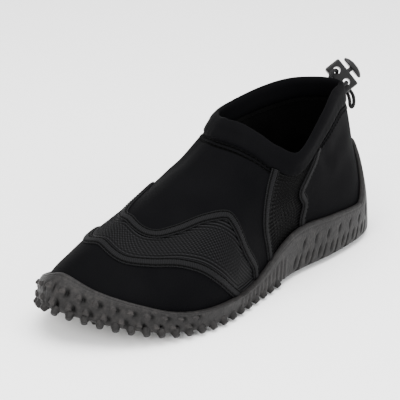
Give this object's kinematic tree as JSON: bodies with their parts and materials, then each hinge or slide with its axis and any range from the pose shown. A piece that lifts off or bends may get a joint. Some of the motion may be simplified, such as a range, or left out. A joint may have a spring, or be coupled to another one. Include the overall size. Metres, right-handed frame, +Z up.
{
  "type": "water shoe, left",
  "caption": "Low slip-on water shoe for the left foot: stretch upper with taped seams, folded cuff, heel drawcord with a cord lock, and a studded rubber cup sole.",
  "frame": {"origin": "on the floor under the middle of the shoe itself, its cord lock and cord loop left out", "axes": "+X towards the toe, +Y towards the outer (lateral) side, +Z up"},
  "size_m": [0.2914, 0.109, 0.1186],
  "materials": {
    "neoprene": "matt smooth stretch cloth",
    "knit_tape": "matt knitted tape",
    "sole_rubber": "matt moulded rubber",
    "footbed_foam": "matt cloth over foam",
    "lock_plastic": "fine matt moulding",
    "elastic_cord": "braided"
  },
  "bodies": {
    "shoe": {"outsole": "sole_rubber", "insole": "footbed_foam", "upper": "neoprene", "collar_cuff": "neoprene", "vamp_tape": "knit_tape", "toe_tape": "knit_tape", "gusset_tape_front_outer": "knit_tape", "gusset_tape_rear_outer": "knit_tape", "gusset_tape_front_inner": "knit_tape", "gusset_tape_rear_inner": "knit_tape", "drawcord": "elastic_cord", "cord_lock_body": "lock_plastic"},
    "lock_button": {"cord_lock_button": "lock_plastic"}
  },
  "joints": [
    {"name": "button_press", "type": "slide", "parent": "shoe", "child": "lock_button", "axis": [0.6939, -0.4266, -0.5801], "range_m": [0, 0.0024], "stiffness_N_per_m": 350}
  ]
}
